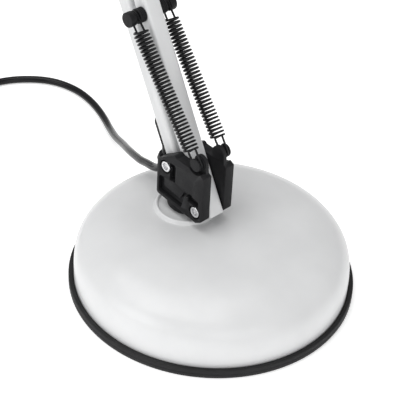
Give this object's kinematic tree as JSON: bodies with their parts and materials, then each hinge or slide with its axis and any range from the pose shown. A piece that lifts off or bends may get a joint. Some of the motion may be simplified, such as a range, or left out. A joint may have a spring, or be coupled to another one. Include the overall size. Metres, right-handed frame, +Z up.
{
  "type": "swing arm desk lamp",
  "caption": "Swing arm desk lamp with a round weighted base, swivel bracket, sprung parallel-bar arms, tilting bell shade and a mains cord with its plug.",
  "frame": {"origin": "centre of the base's underside, where it rests on the table", "axes": "+Z up, +X from the base towards the shade, +Y along the arms' pivots to the lamp's left"},
  "size_m": [0.5811, 0.217, 0.6068],
  "materials": {
    "white_enamel": "satin",
    "rubber_edge": "matte",
    "felt_pad": "matte",
    "cast_weight": "matte",
    "zinc_steel": "satin",
    "bright_screw": "polished",
    "black_plastic": "matte",
    "button_plastic": "gloss",
    "spring_steel": "satin",
    "cord_sheath": "satin",
    "plug_plastic": "satin",
    "socket_white": "gloss",
    "brass_thread": "polished"
  },
  "bodies": {
    "base": {"base_edge_ring": "rubber_edge", "base_dome": "white_enamel", "base_weight": "cast_weight", "base_plate": "zinc_steel", "base_pad": "felt_pad", "swivel_post": "zinc_steel", "post_nut": "zinc_steel", "post_bush": "black_plastic", "mains_cord": "cord_sheath", "cord_tail": "cord_sheath", "cord_coil": "cord_sheath", "cord_tie": "black_plastic", "mains_plug": "plug_plastic"},
    "bracket": {"bracket_hub": "black_plastic", "foot_clip": "black_plastic", "bracket_right": "black_plastic", "bracket_left": "black_plastic", "pivot_screw_rear": "bright_screw", "pivot_nut_rear": "bright_screw", "pivot_screw_front": "bright_screw", "pivot_nut_front": "bright_screw", "lead_foot": "cord_sheath", "lower_spring_right": "spring_steel", "lower_spring_left": "spring_steel"},
    "lower_wired": {"lower_bar_wired": "white_enamel", "lead_in_lower_bar": "cord_sheath"},
    "lower_sprung": {"lower_bar_sprung": "white_enamel", "lower_peg_right": "black_plastic", "lower_peg_left": "black_plastic"},
    "elbow": {"elbow_clip": "black_plastic", "elbow_right": "black_plastic", "elbow_left": "black_plastic", "elbow_rivet_1": "zinc_steel", "elbow_rivet_2": "zinc_steel", "elbow_rivet_3": "zinc_steel", "elbow_rivet_4": "zinc_steel", "lead_elbow": "cord_sheath", "upper_spring_right": "spring_steel", "upper_spring_left": "spring_steel"},
    "upper_wired": {"upper_bar_wired": "white_enamel", "lead_in_upper_bar": "cord_sheath"},
    "upper_sprung": {"upper_bar_sprung": "white_enamel", "upper_peg_right": "black_plastic", "upper_peg_left": "black_plastic"},
    "head": {"head_clip": "black_plastic", "head_plate_right": "black_plastic", "head_plate_left": "black_plastic", "head_rivet_1": "zinc_steel", "head_rivet_2": "zinc_steel", "tilt_screw": "zinc_steel", "lead_head": "cord_sheath"},
    "knob": {"tilt_knob": "black_plastic"},
    "knuckle": {"head_knuckle": "black_plastic"},
    "shade_assembly": {"shade": "white_enamel", "shade_cap": "black_plastic", "socket_body": "socket_white", "socket_thread": "brass_thread", "socket_ring": "black_plastic"},
    "button": {"switch_button": "button_plastic"}
  },
  "joints": [
    {"name": "base_swivel", "type": "hinge", "parent": "base", "child": "bracket", "pos_m": [-0.02715, 0, 0.048], "axis": [0, 0, 1], "range_deg": [-90, 90], "deforming": ["mains_cord"]},
    {"name": "lower_arm", "type": "hinge", "parent": "bracket", "child": "lower_wired", "pos_m": [-0.0348, 0, 0.0788], "axis": [0, 1, 0], "range_deg": [-5, 70], "deforming": ["lower_spring_right", "lower_spring_left", "lead_foot"]},
    {"name": "lower_front_bar", "type": "hinge", "parent": "bracket", "child": "lower_sprung", "pos_m": [-0.0058, 0, 0.0586], "axis": [0, 1, 0], "range_deg": [-5, 70]},
    {"name": "elbow_level", "type": "hinge", "parent": "lower_wired", "child": "elbow", "pos_m": [-0.21437, 0, 0.41369], "axis": [0, 1, 0], "range_deg": [-70, 5]},
    {"name": "upper_arm", "type": "hinge", "parent": "elbow", "child": "upper_wired", "pos_m": [-0.17919, 0, 0.43916], "axis": [0, 1, 0], "range_deg": [-28, 42], "deforming": ["upper_spring_right", "upper_spring_left", "lead_elbow"]},
    {"name": "upper_lower_bar", "type": "hinge", "parent": "elbow", "child": "upper_sprung", "pos_m": [-0.17537, 0, 0.4175], "axis": [0, 1, 0], "range_deg": [-28, 42]},
    {"name": "head_level", "type": "hinge", "parent": "upper_wired", "child": "head", "pos_m": [0.17314, 0, 0.58151], "axis": [0, 1, 0], "range_deg": [-42, 28]},
    {"name": "head_tilt", "type": "hinge", "parent": "head", "child": "knuckle", "pos_m": [0.21096, 0, 0.55985], "axis": [0, 1, 0], "range_deg": [-60, 20], "deforming": ["lead_head"]},
    {"name": "shade_turn", "type": "hinge", "parent": "knuckle", "child": "shade_assembly", "pos_m": [0.21096, 0, 0.52985], "axis": [0, 0, 1], "range_deg": [-90, 90]},
    {"name": "switch_press", "type": "slide", "parent": "shade_assembly", "child": "button", "axis": [0, 0, -1], "range_m": [0, 0.002], "stiffness_N_per_m": 300},
    {"name": "tilt_knob_turn", "type": "hinge", "parent": "head", "child": "knob", "pos_m": [0.21096, 0, 0.55985], "axis": [0, 1, 0], "range_deg": [-90, 90]}
  ],
  "couplings": [
    {"joint": "lower_front_bar", "follows": "lower_arm", "ratio": 1},
    {"joint": "elbow_level", "follows": "lower_arm", "ratio": -1},
    {"joint": "upper_lower_bar", "follows": "upper_arm", "ratio": 1},
    {"joint": "head_level", "follows": "upper_arm", "ratio": -1}
  ]
}
